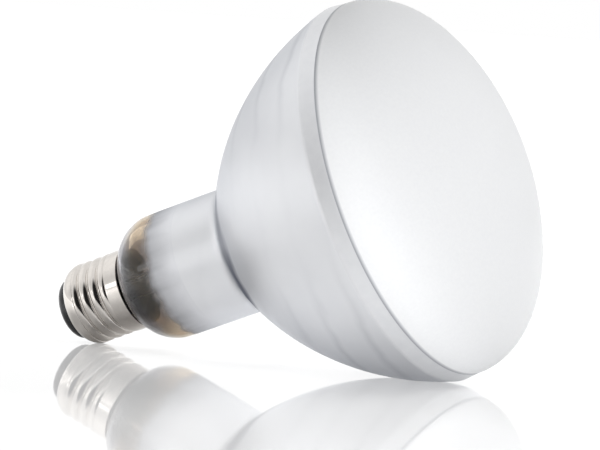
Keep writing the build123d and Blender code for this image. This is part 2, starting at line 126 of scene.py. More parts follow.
def srgb(code):
    """Linear colour of an sRGB hex value."""
    parts = [int(code[i : i + 2], 16) / 255 for i in (1, 3, 5)]
    return [p / 12.92 if p <= 0.04045 else ((p + 0.055) / 1.055) ** 2.4 for p in parts] + [1.0]


def add(tree, kind, inputs=None, **settings):
    """Adds a node: settings are its properties, inputs its sockets' values or the sockets linked to them.

    Sockets go by number where several share a name. A mix has its share at 0, then two colours at 6 and 7
    or two numbers at 2 and 3. A map range has its value at 0, the old ends at 1 and 2, the new at 3 and 4.
    """
    made = tree.nodes.new(kind)
    for name, value in settings.items():
        setattr(made, name, value)
    for key, value in (inputs or {}).items():
        if isinstance(value, bpy.types.NodeSocket):
            tree.links.new(value, made.inputs[key])
        else:
            made.inputs[key].default_value = value
    return made


def finish_named(name, **sockets):
    """New material with one shader: returns the material, its node tree and the shader."""
    made = bpy.data.materials.new(name)
    made.use_nodes = True
    shader = made.node_tree.nodes["Principled BSDF"]
    for key, value in sockets.items():
        shader.inputs[key.replace("_", " ")].default_value = value
    return made, made.node_tree, shader


def grained(name, dark, light, grain, smooth, rough, detail=3.0, **sockets):
    """Material whose tone and roughness vary over a grain size in millimetres."""
    made, tree, shader = finish_named(name, **sockets)
    where = add(tree, "ShaderNodeTexCoord").outputs["Object"]
    grains = {"Vector": where, "Scale": 1 / (grain * MM), "Detail": detail}
    speck = add(tree, "ShaderNodeTexNoise", grains).outputs["Fac"]
    tones = {0: speck, 6: srgb(dark), 7: srgb(light)}
    tone = add(tree, "ShaderNodeMix", tones, data_type="RGBA").outputs[2]
    gloss = add(tree, "ShaderNodeMapRange", {0: speck, 3: smooth, 4: rough}).outputs[0]
    tree.links.new(tone, shader.inputs["Base Color"])
    tree.links.new(gloss, shader.inputs["Roughness"])
    return made


# Materials

# Silvered glass: aluminium evaporated on the inside of clear glass, so a satin mirror lies under a hard
# gloss. A dark blue-grey ring is painted round the throat as a painted reflection of the dark things round
# it, darkest on the lower side as painted shade
MIRROR_SMOOTH = 0.4
MIRROR_ROUGH = 0.48
MIRROR_EDGE = srgb("#D4D6DA")
OVERLAY = 0.12
OVERLAY_ROUGHNESS = 0.02
SILVER_CLOUD = 14 * MM
SILVER_FRAY = 6 * MM
PAINTED_RING_HEIGHT = (THROAT_HEIGHT + 9.8) * MM
PAINTED_RING_CORE = 0.8 * MM
PAINTED_RING_REACH = 3.4 * MM
PAINTED_RING_DARKEST_BELOW = -10 * MM  # below the axis by this much the painted ring is at its darkest: painted shade on the lower side
silvered, tree, shader = finish_named(
    "silvered_glass",
    Metallic=1.0,
    Coat_Weight=OVERLAY,
    Coat_Roughness=OVERLAY_ROUGHNESS,
    Specular_Tint=MIRROR_EDGE,
)
place = add(tree, "ShaderNodeAttribute", attribute_name="bulb_place").outputs["Vector"]
above, aside, height = add(tree, "ShaderNodeSeparateXYZ", {0: place}).outputs[:]
clouds = {"Vector": place, "Scale": 1 / SILVER_CLOUD, "Detail": 2.0}
cloud = add(tree, "ShaderNodeTexNoise", clouds).outputs["Fac"]
silvers = {0: cloud, 6: srgb("#DADBDE"), 7: srgb("#E5E6E8")}
silver = add(tree, "ShaderNodeMix", silvers, data_type="RGBA").outputs[2]
frayed = {0: cloud, 1: SILVER_FRAY, 2: height}
ragged = add(tree, "ShaderNodeMath", frayed, operation="MULTIPLY_ADD").outputs[0]
# Painted reflection: a dark ring round the throat, deeper on the lower side as painted shade
away = add(tree, "ShaderNodeMath", {0: ragged, 1: PAINTED_RING_HEIGHT}, operation="SUBTRACT").outputs[0]
away = add(tree, "ShaderNodeMath", {0: away}, operation="ABSOLUTE").outputs[0]
lower_side_shade = add(tree, "ShaderNodeMapRange", {0: above, 1: PAINTED_RING_DARKEST_BELOW, 2: 0, 3: 1.0, 4: 0.5}).outputs[0]
thin = add(tree, "ShaderNodeMapRange", {0: away, 1: PAINTED_RING_CORE, 2: PAINTED_RING_REACH, 3: lower_side_shade, 4: 0.0}).outputs[0]
# Spiral streaks where the coat ran thin as the bulb was spun, faint but for the upper and lower side, where
# they are painted strong: on the lower side this is painted shade, the darker reflection of the floor under
# the bowl
STREAK_LEAD = 50 * MM
STREAK_SPACING = 12.5 * MM
STREAK_SHARE = 0.18  # half a streak's width over the spacing
FAINT_UP_TO = 18 * MM
STRONG_FROM = 48 * MM
FAINT = 0.015
STRONG = 0.16
angle = add(tree, "ShaderNodeMath", {0: aside, 1: above}, operation="ARCTAN2").outputs[0]
climb = {0: angle, 1: STREAK_LEAD / (2 * pi), 2: ragged}
level = add(tree, "ShaderNodeMath", climb, operation="MULTIPLY_ADD").outputs[0]
turns = add(tree, "ShaderNodeMath", {0: level, 1: STREAK_SPACING}, operation="DIVIDE").outputs[0]
beside = add(tree, "ShaderNodeMath", {0: turns, 1: 0.5, 2: -0.5}, operation="WRAP").outputs[0]
beside = add(tree, "ShaderNodeMath", {0: beside}, operation="ABSOLUTE").outputs[0]
side = add(tree, "ShaderNodeMath", {0: above}, operation="ABSOLUTE").outputs[0]
streak_shade_strengths = {0: side, 1: FAINT_UP_TO, 2: STRONG_FROM, 3: FAINT, 4: STRONG}
streak_shade_strength = add(tree, "ShaderNodeMapRange", streak_shade_strengths).outputs[0]
streaks = {0: beside, 1: 0.0, 2: STREAK_SHARE, 3: streak_shade_strength, 4: 0.0}
streak = add(tree, "ShaderNodeMapRange", streaks).outputs[0]
thin = add(tree, "ShaderNodeMath", {0: thin, 1: streak}, operation="MAXIMUM").outputs[0]
# Dark blue-grey of the painted throat ring and of the streaks, the strong ones partly painted shade
tones = {0: thin, 6: silver, 7: srgb("#55586A")}
tone = add(tree, "ShaderNodeMix", tones, data_type="RGBA").outputs[2]
gloss = add(tree, "ShaderNodeMapRange", {0: cloud, 3: MIRROR_SMOOTH, 4: MIRROR_ROUGH}).outputs[0]
tree.links.new(tone, shader.inputs["Base Color"])
tree.links.new(gloss, shader.inputs["Roughness"])

# Neck glass: clear glass, painted dark grey-violet by the cap and inside it as painted shade, tinted tan by
# the thin edge of the coat, then silvered
NECK_CLOUD = 6 * MM
NECK_STREAK = 5 * MM
NECK_DRAW = (1, 1, 0.15)  # streaks are drawn out along the neck
NECK_FRAY = 4 * MM
CAP_SHADE_FROM = 2 * MM
CAP_SHADE_TO = 10 * MM
FILM_FROM = 8 * MM
FILM_TO = 13 * MM
MIRROR_FROM = 15.5 * MM
MIRROR_TO = 20.5 * MM
WHOLE_FROM = 17 * MM
WHOLE_TO = 27 * MM
neck_glass, tree, shader = finish_named(
    "neck_glass", Transmission_Weight=1.0, IOR=1.5, Specular_IOR_Level=0.3, Roughness=0.0
)
place = add(tree, "ShaderNodeAttribute", attribute_name="bulb_place").outputs["Vector"]
height = add(tree, "ShaderNodeSeparateXYZ", {0: place}).outputs["Z"]
clouds = {"Vector": place, "Scale": 1 / NECK_CLOUD, "Detail": 2.0}
cloud = add(tree, "ShaderNodeTexNoise", clouds).outputs["Fac"]
drawn = add(tree, "ShaderNodeVectorMath", {0: place, 1: NECK_DRAW}, operation="MULTIPLY").outputs["Vector"]
streaks = {"Vector": drawn, "Scale": 1 / NECK_STREAK, "Detail": 2.0}
streak = add(tree, "ShaderNodeTexNoise", streaks).outputs["Fac"]
frayed = {0: cloud, 1: NECK_FRAY, 2: height}
ragged = add(tree, "ShaderNodeMath", frayed, operation="MULTIPLY_ADD").outputs[0]
films = {0: ragged, 1: FILM_FROM, 2: FILM_TO}
film = add(tree, "ShaderNodeMapRange", films, interpolation_type="SMOOTHSTEP").outputs[0]
# Painted shade: the glass is tinted dark grey-violet up to 2 mm from the skirt's rim, fading to clear by 10
# mm
cap_shade = add(tree, "ShaderNodeMapRange", {0: height, 1: CAP_SHADE_FROM, 2: CAP_SHADE_TO}).outputs[0]
clears = {0: cap_shade, 6: srgb("#6A6872"), 7: srgb("#F0F0F0")}
clear = add(tree, "ShaderNodeMix", clears, data_type="RGBA").outputs[2]
tint = add(tree, "ShaderNodeMix", {0: film, 6: clear, 7: srgb("#D0BC9F")}, data_type="RGBA").outputs[2]
tree.links.new(tint, shader.inputs["Base Color"])
mirrors = {0: ragged, 1: MIRROR_FROM, 2: MIRROR_TO}
mirror = add(tree, "ShaderNodeMapRange", mirrors, interpolation_type="SMOOTHSTEP").outputs[0]
whole = add(tree, "ShaderNodeMapRange", {0: ragged, 1: WHOLE_FROM, 2: WHOLE_TO}).outputs[0]
thins = {0: streak, 6: srgb("#66676C"), 7: srgb("#CCCDD1")}
thin = add(tree, "ShaderNodeMix", thins, data_type="RGBA").outputs[2]
tone = add(tree, "ShaderNodeMix", {0: whole, 6: thin, 7: srgb("#DCDDE0")}, data_type="RGBA").outputs[2]
gloss = add(tree, "ShaderNodeMapRange", {0: cloud, 3: MIRROR_SMOOTH, 4: MIRROR_ROUGH}).outputs[0]
coat_sockets = {
    "Base Color": tone,
    "Roughness": gloss,
    "Metallic": 1.0,
    "Coat Weight": OVERLAY,
    "Coat Roughness": OVERLAY_ROUGHNESS,
    "Specular Tint": MIRROR_EDGE,
}
coat = add(tree, "ShaderNodeBsdfPrincipled", coat_sockets)
both = add(tree, "ShaderNodeMixShader", {0: mirror, 1: shader.outputs[0], 2: coat.outputs[0]})
tree.links.new(both.outputs[0], tree.nodes["Material Output"].inputs["Surface"])

# Satin band: the mirror's edge where the frosting starts, less metallic than the bowl
BAND_SHEEN = {"Metallic": 0.75, "Coat_Weight": 0.4, "Coat_Roughness": 0.2}
band_glass = grained("satin_band_glass", "#D6D7DA", "#E1E2E4", 3.0, 0.38, 0.46, **BAND_SHEEN)

# Frosted face: acid-etched glass, milky white with a broad soft sheen, and a grey line of painted shade
# along its edge where it meets the band. The grit of a real etch is finer and is drawn coarse enough to show
GRIT = 0.9 * MM
GRIT_DEPTH = 0.05 * MM
CREASE_SHADE_FROM = (FACE_HEIGHT + 0.3) * MM
CREASE_SHADE_TO = (FACE_HEIGHT + 1.4) * MM
frosted, tree, shader = finish_named("frosted_glass", IOR=1.5, Specular_IOR_Level=0.3)
where = add(tree, "ShaderNodeTexCoord").outputs["Object"]
grit = add(tree, "ShaderNodeTexNoise", {"Vector": where, "Scale": 1 / GRIT, "Detail": 4.0}).outputs["Fac"]
milks = {0: grit, 6: srgb("#EDEEF0"), 7: srgb("#F5F6F7")}
milk = add(tree, "ShaderNodeMix", milks, data_type="RGBA").outputs[2]
place = add(tree, "ShaderNodeAttribute", attribute_name="bulb_place").outputs["Vector"]
height = add(tree, "ShaderNodeSeparateXYZ", {0: place}).outputs["Z"]
# Painted shade: a grey line along the crease where the face meets the band
edge = add(tree, "ShaderNodeMapRange", {0: height, 1: CREASE_SHADE_FROM, 2: CREASE_SHADE_TO}).outputs[0]
tone = add(tree, "ShaderNodeMix", {0: edge, 6: srgb("#A3A5AB"), 7: milk}, data_type="RGBA").outputs[2]
gloss = add(tree, "ShaderNodeMapRange", {0: grit, 3: 0.34, 4: 0.44}).outputs[0]
etched = add(tree, "ShaderNodeBump", {"Height": grit, "Strength": 0.05, "Distance": GRIT_DEPTH}).outputs[0]
tree.links.new(tone, shader.inputs["Base Color"])
tree.links.new(gloss, shader.inputs["Roughness"])
tree.links.new(etched, shader.inputs["Normal"])

# Bright nickel plate on rolled brass: a warm mirror whose tone and gloss vary faintly
nickel = grained("bright_nickel_plate", "#D0CBC5", "#DFDAD5", 1.6, 0.06, 0.12, Metallic=1.0)

# Black glass poured hot into the shell's end: deep black with a slightly wavy gloss
black_glass = grained("black_poured_glass", "#101012", "#1C1C1F", 4.0, 0.1, 0.22, detail=1.0, IOR=1.52)

# Inner finishes, each with the tone and gloss of its own metal, glass or ceramic, in a grain that shows, but
# for the cement, whose near-black is painted shade
CLEAR = {"Transmission_Weight": 1.0}
brass = grained("stamped_brass", "#B8954E", "#D0AF68", 1.2, 0.2, 0.35, Metallic=1.0)
solder = grained("soft_solder", "#9A9A98", "#BBBBB8", 0.8, 0.3, 0.5, Metallic=1.0)
# Painted shade: the capping cement is made near black, standing in for the shade in the gap at the skirt's
# rim and inside the cap
cement_painted_dark = grained("capping_cement", "#1D1A18", "#2A2623", 0.6, 0.8, 0.95)
stem_glass = grained("clear_lead_glass", "#F4F7F6", "#FFFFFF", 4.0, 0.0, 0.03, IOR=1.55, **CLEAR)
quartz = grained("fused_quartz", "#F6F9FB", "#FFFFFF", 4.0, 0.0, 0.03, IOR=1.46, **CLEAR)
wire = grained("drawn_nickel_wire", "#A9A59E", "#C2BEB6", 0.5, 0.25, 0.4, Metallic=1.0)
molybdenum = grained("drawn_molybdenum", "#8E8E91", "#A6A6A9", 0.5, 0.3, 0.45, Metallic=1.0)
tungsten = grained("drawn_tungsten", "#6D6D71", "#86868A", 0.4, 0.35, 0.5, Metallic=1.0)
ceramic = grained("fired_ceramic", "#E4DED3", "#F0EBE2", 0.5, 0.6, 0.8)
mercury = grained("liquid_mercury", "#D3D5D8", "#E3E5E8", 2.0, 0.02, 0.05, Metallic=1.0)

NODE_FINISH = {
    "capping_cement": cement_painted_dark,
    "centre_contact": brass,
    "contact_solder": solder,
    "side_solder": solder,
    "stem": stem_glass,
    "exhaust_tube": stem_glass,
    "arc_tube": quartz,
    "filament_hooks": molybdenum,
    "near_foil": molybdenum,
    "far_foil": molybdenum,
    "ballast_filament": tungsten,
    "near_electrode": tungsten,
    "far_electrode": tungsten,
    "starting_electrode": tungsten,
    "starting_resistor": ceramic,
    "mercury_bead": mercury,
}
for name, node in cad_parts.items():
    node.data.materials.clear()
    node.data.materials.append(NODE_FINISH.get(name, wire))

# Geometry Nodes: a section turned about the axis, and the thread rolled into it
MERGE_GAP = 0.001 * MM
SKIN_DEPTH = 0.01 * MM


def new_tree(name, inputs):
    """Geometry tree with named inputs: returns the tree, its input node and its output node."""
    made = bpy.data.node_groups.new(name, "GeometryNodeTree")
    made.interface.new_socket("Geometry", in_out="OUTPUT", socket_type="NodeSocketGeometry")
    made.interface.new_socket("Geometry", in_out="INPUT", socket_type="NodeSocketGeometry")
    for label, kind in inputs.items():
        made.interface.new_socket(label, in_out="INPUT", socket_type=kind)
    return made, add(made, "NodeGroupInput"), add(made, "NodeGroupOutput")


def turned_section_tree():
    """Turns a section's points, in order, about the local z axis, and keeps each one's place on the bulb."""
    inputs = {"Steps": "NodeSocketInt", "Finish": "NodeSocketMaterial"}
    tree, given, result = new_tree("turned_section", inputs)
    section = given.outputs["Geometry"]
    steps = given.outputs["Steps"]
    count = add(tree, "GeometryNodeAttributeDomainSize", {0: section}).outputs["Point Count"]
    columns = add(tree, "ShaderNodeMath", {0: steps, 1: 1.0}).outputs[0]
    grid = add(tree, "GeometryNodeMeshGrid", {"Vertices X": columns, "Vertices Y": count})
    index = add(tree, "GeometryNodeInputIndex").outputs[0]
    ratio = add(tree, "ShaderNodeMath", {0: index, 1: count}, operation="DIVIDE").outputs[0]
    column = add(tree, "ShaderNodeMath", {0: ratio}, operation="FLOOR").outputs[0]
    row = add(tree, "ShaderNodeMath", {0: index, 1: count}, operation="MODULO").outputs[0]
    place = add(tree, "GeometryNodeInputPosition").outputs[0]
    sampled = {0: section, 1: place, 2: row}
    point = add(tree, "GeometryNodeSampleIndex", sampled, data_type="FLOAT_VECTOR").outputs[0]
    share = add(tree, "ShaderNodeMath", {0: column, 1: steps}, operation="DIVIDE").outputs[0]
    angle = add(tree, "ShaderNodeMath", {0: share, 1: 2 * pi}, operation="MULTIPLY").outputs[0]
    turn = {"Vector": point, "Angle": angle}
    turned = add(tree, "ShaderNodeVectorRotate", turn, rotation_type="Z_AXIS").outputs[0]
    wall = add(tree, "GeometryNodeSetPosition", {0: grid.outputs["Mesh"], 2: turned}).outputs[0]
    closed = add(tree, "GeometryNodeMergeByDistance", {0: wall, 2: MERGE_GAP}).outputs[0]
    beside = add(tree, "GeometryNodeInputMeshEdgeNeighbors").outputs[0]
    loose = add(tree, "ShaderNodeMath", {0: beside, 1: 1.0}, operation="LESS_THAN").outputs[0]
    dropped = {0: closed, 1: loose}
    closed = add(tree, "GeometryNodeDeleteGeometry", dropped, domain="EDGE", mode="EDGE_FACE").outputs[0]
    stored = {0: closed, "Name": "bulb_place", "Value": place}
    kept = add(tree, "GeometryNodeStoreNamedAttribute", stored, data_type="FLOAT_VECTOR").outputs[0]
    smooth = add(tree, "GeometryNodeSetShadeSmooth", {0: kept}).outputs[0]
    real = add(tree, "GeometryNodeRealizeInstances", {0: smooth}).outputs[0]
    finished = add(tree, "GeometryNodeSetMaterial", {0: real, 2: given.outputs["Finish"]}).outputs[0]
    tree.links.new(finished, result.inputs[0])
    return tree


def rolled_thread_tree():
    """Rolls a right-handed groove into the points of a turned shell between the land and the skirt."""
    sizes = ["Pitch", "Crest Radius", "Crest Round", "Crest Width", "Groove Height", "Land", "Skirt"]
    inputs = {label: "NodeSocketFloat" for label in sizes}
    tree, given, result = new_tree("rolled_thread", inputs | {"Finish": "NodeSocketMaterial"})
    size = given.outputs
    crest = size["Crest Radius"]
    position = add(tree, "GeometryNodeInputPosition").outputs[0]
    place = add(tree, "ShaderNodeSeparateXYZ", {0: position}).outputs
    level = place["Z"]
    flat = add(tree, "ShaderNodeCombineXYZ", {0: place["X"], 1: place["Y"]}).outputs[0]
    radius = add(tree, "ShaderNodeVectorMath", {0: flat}, operation="LENGTH").outputs["Value"]
    angle = add(tree, "ShaderNodeMath", {0: place["Y"], 1: place["X"]}, operation="ARCTAN2").outputs[0]
    turn = add(tree, "ShaderNodeMath", {0: angle, 1: 2 * pi}, operation="DIVIDE").outputs[0]
    lift = add(tree, "ShaderNodeMath", {0: level, 1: size["Groove Height"]}, operation="SUBTRACT").outputs[0]
    turns = add(tree, "ShaderNodeMath", {0: lift, 1: size["Pitch"]}, operation="DIVIDE").outputs[0]
    phase = add(tree, "ShaderNodeMath", {0: turns, 1: turn}, operation="SUBTRACT").outputs[0]
    # Share of a pitch from the crest: 0 on it and 0.5 in the groove
    share = add(tree, "ShaderNodeMath", {0: phase, 1: 0.5, 2: -0.5}, operation="WRAP").outputs[0]
    share = add(tree, "ShaderNodeMath", {0: share}, operation="ABSOLUTE").outputs[0]
    share = add(tree, "ShaderNodeMath", {0: 0.5, 1: share}, operation="SUBTRACT").outputs[0]
    away = add(tree, "ShaderNodeMath", {0: share, 1: size["Pitch"]}, operation="MULTIPLY").outputs[0]
    half = add(tree, "ShaderNodeMath", {0: size["Crest Width"], 1: 0.5}, operation="MULTIPLY").outputs[0]
    reach = add(tree, "ShaderNodeMath", {0: away, 1: half}, operation="MINIMUM").outputs[0]
    # Fall of the crest's arc at that reach
    sine = add(tree, "ShaderNodeMath", {0: reach, 1: size["Crest Round"]}, operation="DIVIDE").outputs[0]
    tip = add(tree, "ShaderNodeMath", {0: sine}, operation="ARCSINE").outputs[0]
    drop = add(tree, "ShaderNodeMath", {0: tip}, operation="COSINE").outputs[0]
    drop = add(tree, "ShaderNodeMath", {0: 1.0, 1: drop}, operation="SUBTRACT").outputs[0]
    fall = add(tree, "ShaderNodeMath", {0: drop, 1: size["Crest Round"]}, operation="MULTIPLY").outputs[0]
    rolled = add(tree, "ShaderNodeMath", {0: crest, 1: fall}, operation="SUBTRACT").outputs[0]
    outwards = add(tree, "ShaderNodeVectorMath", {0: flat}, operation="NORMALIZE").outputs["Vector"]
    grown = {0: outwards, "Scale": rolled}
    flat = add(tree, "ShaderNodeVectorMath", grown, operation="SCALE").outputs["Vector"]
    up = add(tree, "ShaderNodeCombineXYZ", {2: level}).outputs[0]
    rolled = add(tree, "ShaderNodeVectorMath", {0: flat, 1: up}).outputs["Vector"]
    above = add(tree, "ShaderNodeMath", {0: level, 1: size["Land"]}, operation="GREATER_THAN").outputs[0]
    below = add(tree, "ShaderNodeMath", {0: level, 1: size["Skirt"]}, operation="LESS_THAN").outputs[0]
    skin = add(tree, "ShaderNodeMath", {0: crest, 1: SKIN_DEPTH}, operation="SUBTRACT").outputs[0]
    outside = add(tree, "ShaderNodeMath", {0: radius, 1: skin}, operation="GREATER_THAN").outputs[0]
    between = add(tree, "ShaderNodeMath", {0: above, 1: below}, operation="MULTIPLY").outputs[0]
    threaded = add(tree, "ShaderNodeMath", {0: between, 1: outside}, operation="MULTIPLY").outputs[0]
    moved = {0: size["Geometry"], 1: threaded, 2: rolled}
    shaped = add(tree, "GeometryNodeSetPosition", moved).outputs[0]
    real = add(tree, "GeometryNodeRealizeInstances", {0: shaped}).outputs[0]
    finished = add(tree, "GeometryNodeSetMaterial", {0: real, 2: size["Finish"]}).outputs[0]
    tree.links.new(finished, result.inputs[0])
    return tree


def section_object(name, points):
    """Object that holds a section's points, as (radius, height) in millimetres, in the local xz plane."""
    mesh = bpy.data.meshes.new(name)
    mesh.from_pydata([(r * MM, 0, h * MM) for r, h in points], [], [])
    made = bpy.data.objects.new(name, mesh)
    scene.collection.objects.link(made)
    return made


def with_tree(piece, tree, **values):
    """Puts a geometry tree on a piece and sets its inputs by their identifiers."""
    modifier = piece.modifiers.new(tree.name, "NODES")
    modifier.node_group = tree
    for item in tree.interface.items_tree:
        label = item.name.replace(" ", "_")
        if item.in_out == "INPUT" and label in values:
            modifier[item.identifier] = values[label]


def made_real(piece):
    """Makes a plain mesh of a piece's modifiers, without its empty first slot, laid as the bulb lies."""
    graph = bpy.context.evaluated_depsgraph_get()
    mesh = bpy.data.meshes.new_from_object(piece.evaluated_get(graph))
    piece.modifiers.clear()
    piece.data = mesh
    mesh.transform(LAID)
    mesh.materials.pop(index=0)
    mesh.name = piece.name


def arc(centre, radius, start, end, steps):
    """Points along an arc of the section, between two angles from the radius direction."""
    angles = [start + (end - start) * i / steps for i in range(steps + 1)]
    return [(centre[0] + radius * cos(a), centre[1] + radius * sin(a)) for a in angles]


def span(first, last, steps):
    """Points along a straight line of the section."""
    return [tuple(p + (q - p) * i / steps for p, q in zip(first, last)) for i in range(steps + 1)]


def angle_to(centre, point):
    """Direction of a point from a centre in the section."""
    return atan2(point[1] - centre[1], point[0] - centre[0])


turned_section = turned_section_tree()
rolled_thread = rolled_thread_tree()

# Glass envelope: both faces of its wall, from the tail over the neck, bowl and band to the top of the dome
shoulder_rise = NECK_RADIUS - FOOT[0]
SHOULDER_RADIUS = (shoulder_rise**2 + (SHOULDER_HEIGHT - FOOT[1]) ** 2) / (2 * shoulder_rise)
SHOULDER_CENTRE = (NECK_RADIUS - SHOULDER_RADIUS, SHOULDER_HEIGHT)


def glass_face(inset):
    """One face of the glass in section, from the tail to the top of the dome."""
    foot_angle = angle_to(SHOULDER_CENTRE, FOOT)
    shoulder = arc(SHOULDER_CENTRE, SHOULDER_RADIUS - inset, foot_angle, 0, SHOULDER_STEPS)
    tail = TAIL_RADIUS - inset
    tail_top = shoulder[0][1] - (shoulder[0][0] - tail) * LEDGE_SLOPE
    throat_end = angle_to(THROAT_CENTRE, BOWL_CENTRE)
    throat = arc(THROAT_CENTRE, THROAT_RADIUS + inset, pi, throat_end, THROAT_STEPS)
    bowl_start = angle_to(BOWL_CENTRE, THROAT_CENTRE)
    bowl_end = angle_to(BOWL_CENTRE, (RIM_RADIUS, RIM_HEIGHT))
    bowl = arc(BOWL_CENTRE, BOWL_RADIUS - inset, bowl_start, bowl_end, BOWL_STEPS)
    edge = (FACE_RADIUS - inset, FACE_HEIGHT)
    quarter = [pi / 2 * i / DOME_STEPS for i in range(DOME_STEPS + 1)]
    dome = [(edge[0] * cos(t), FACE_HEIGHT + (DOME_HEIGHT - inset) * sin(t)) for t in quarter]
    neck = span((NECK_RADIUS - inset, SHOULDER_HEIGHT), throat[0], NECK_STEPS)
    lower = span((tail, TAIL_HEIGHT), (tail, tail_top), TAIL_STEPS) + shoulder + neck[1:-1]
    return lower + throat + bowl[1:] + span(bowl[-1], edge, BAND_STEPS)[1:-1] + dome


outer = glass_face(0)
inner = glass_face(GLASS_WALL)
glass = section_object("glass_envelope", outer + inner[::-1] + outer[:1])
with_tree(glass, turned_section, Steps=GLASS_TURN, Finish=silvered)
made_real(glass)

# Zones of the glass: clear neck end, mirror, satin band and frosted face
glass.data.materials.clear()
for finish in (neck_glass, silvered, band_glass, frosted):
    glass.data.materials.append(finish)
for face in glass.data.polygons:
    along = (face.center - SKIRT_CENTRE).dot(AXIS) / MM
    face.material_index = sum(along > edge for edge in (CLEAR_END, RIM_HEIGHT, FACE_HEIGHT))
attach(glass, "root")
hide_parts("envelope")

# Screw shell: the thread is rolled between the nose's land and the skirt
LAND_HEIGHT = NOSE_HEIGHT + NOSE_LAND
NOSE_TURN = asin((SHELL_LENGTH + NOSE_HEIGHT) / NOSE_ROUND)
CREST_ROUND = (CREST_WIDTH**2 / 4 + CREST_HEIGHT**2) / (2 * CREST_HEIGHT)
EDGE_RADIUS = SKIRT_RADIUS - SHEET_EDGE
lip = (LIP_BORE, -SHELL_LENGTH)
seat = LIP_LENGTH - SHELL_LENGTH
shell_points = (
    span((SHELL_BORE, seat), lip, LIP_STEPS)
    + arc(NOSE_CENTRE, NOSE_ROUND, -NOSE_TURN, 0, NOSE_STEPS)
    + [(SKIRT_RADIUS, LAND_HEIGHT - SHEET_EDGE)]
    + arc((EDGE_RADIUS, LAND_HEIGHT - SHEET_EDGE), SHEET_EDGE, 0, pi / 2, EDGE_STEPS)[1:-1]
    + span((CREST_RADIUS, LAND_HEIGHT), (CREST_RADIUS, -SKIRT_LENGTH), THREAD_STEPS)
    + arc((EDGE_RADIUS, SHEET_EDGE - SKIRT_LENGTH), SHEET_EDGE, -pi / 2, 0, EDGE_STEPS)[1:]
    + span((SKIRT_RADIUS, SHEET_EDGE - SKIRT_LENGTH), (SKIRT_RADIUS, -SHEET_EDGE), SKIRT_STEPS)[1:]
    + arc((EDGE_RADIUS, -SHEET_EDGE), SHEET_EDGE, 0, pi / 2, EDGE_STEPS)[1:]
    + [(SKIRT_BORE, 0), (SKIRT_BORE, SKIRT_STEP), (SHELL_BORE, SKIRT_STEP), (SHELL_BORE, seat)]
)
shell = section_object("threaded_shell", shell_points)
with_tree(shell, turned_section, Steps=SHELL_TURN, Finish=nickel)
with_tree(
    shell,
    rolled_thread,
    Pitch=THREAD_PITCH * MM,
    Crest_Radius=CREST_RADIUS * MM,
    Crest_Round=CREST_ROUND * MM,
    Crest_Width=CREST_WIDTH * MM,
    Groove_Height=GROOVE_HEIGHT * MM,
    Land=(LAND_HEIGHT - HAIR) * MM,
    Skirt=(HAIR - SKIRT_LENGTH) * MM,
    Finish=nickel,
)
made_real(shell)
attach(shell, "root")
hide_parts("screw_shell")

# Insulator: its bulged end shows round the centre contact
chord = hypot(lip[0] - INSULATOR_END[0], lip[1] - INSULATOR_END[1])
bulge_radius = (chord**2 / 4 + INSULATOR_BULGE**2) / (2 * INSULATOR_BULGE)
middle = ((lip[0] + INSULATOR_END[0]) / 2, (lip[1] + INSULATOR_END[1]) / 2)
inwards = ((INSULATOR_END[1] - lip[1]) / chord, (lip[0] - INSULATOR_END[0]) / chord)
bulge_centre = tuple(m + n * (bulge_radius - INSULATOR_BULGE) for m, n in zip(middle, inwards))
bulge_start = angle_to(bulge_centre, INSULATOR_END)
bulge_end = angle_to(bulge_centre, lip)
insulator_points = (
    span((LEAD_BORE, INSULATOR_END[1]), INSULATOR_END, END_STEPS)[:-1]
    + arc(bulge_centre, bulge_radius, bulge_start, bulge_end, BULGE_STEPS)
    + [(SHELL_BORE, seat), (SHELL_BORE, seat + INSULATOR_SEAT)]
    + [(LEAD_BORE, seat + INSULATOR_SEAT), (LEAD_BORE, INSULATOR_END[1])]
)
insulator = section_object("poured_insulator", insulator_points)
with_tree(insulator, turned_section, Steps=INSULATOR_TURN, Finish=black_glass)
made_real(insulator)
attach(insulator, "root")
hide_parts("insulator")

# Studio: a pale glossy floor, a white surround and soft lamps
FLOOR_HALF = 20.0
FLOOR_CORNERS = [(-1, -1), (1, -1), (1, 1), (-1, 1)]
CAMERA_GLOW = 0.25
floor_mesh = bpy.data.meshes.new("floor")
floor_mesh.from_pydata([(FLOOR_HALF * x, FLOOR_HALF * y, 0) for x, y in FLOOR_CORNERS], [], [(0, 1, 2, 3)])
floor = bpy.data.objects.new("floor", floor_mesh)
scene.collection.objects.link(floor)
floor_finish, tree, shader = finish_named("polished_white_floor", Roughness=0.03)
shader.inputs["Base Color"].default_value = srgb("#F6F6F6")
shader.inputs["Emission Color"].default_value = srgb("#FFFFFF")
rays = add(tree, "ShaderNodeLightPath").outputs
where = add(tree, "ShaderNodeTexCoord").outputs["Object"]
# Painted shade: the floor that metal shows glows less where the bowl and the nose touch it, standing in for
# the bulb's shadow there. Columns: the arc's centre, the distances between which the shade fades, and the
# glow at each
FLOOR_SHADE = [(BOWL_CENTRE, 15 * MM, 65 * MM, 0.18, 0.5), (NOSE_CENTRE, 15 * MM, 55 * MM, 0.1, 1.0)]
glow = rays["Is Glossy Ray"]
for centre, near, far, dark, light in FLOOR_SHADE:
    touch = (SKIRT_CENTRE.x + (centre[1] * cos(TILT) + centre[0] * sin(TILT)) * MM, 0, 0)
    away = add(tree, "ShaderNodeVectorMath", {0: where, 1: touch}, operation="DISTANCE").outputs["Value"]
    shades = {0: away, 1: near, 2: far, 3: dark, 4: light}
    shade = add(tree, "ShaderNodeMapRange", shades, interpolation_type="SMOOTHSTEP").outputs[0]
    glow = add(tree, "ShaderNodeMath", {0: glow, 1: shade}, operation="MULTIPLY").outputs[0]
glows = {0: rays["Is Camera Ray"], 1: CAMERA_GLOW, 2: glow}
glow = add(tree, "ShaderNodeMath", glows, operation="MULTIPLY_ADD").outputs[0]
tree.links.new(glow, shader.inputs["Emission Strength"])
floor_mesh.materials.append(floor_finish)

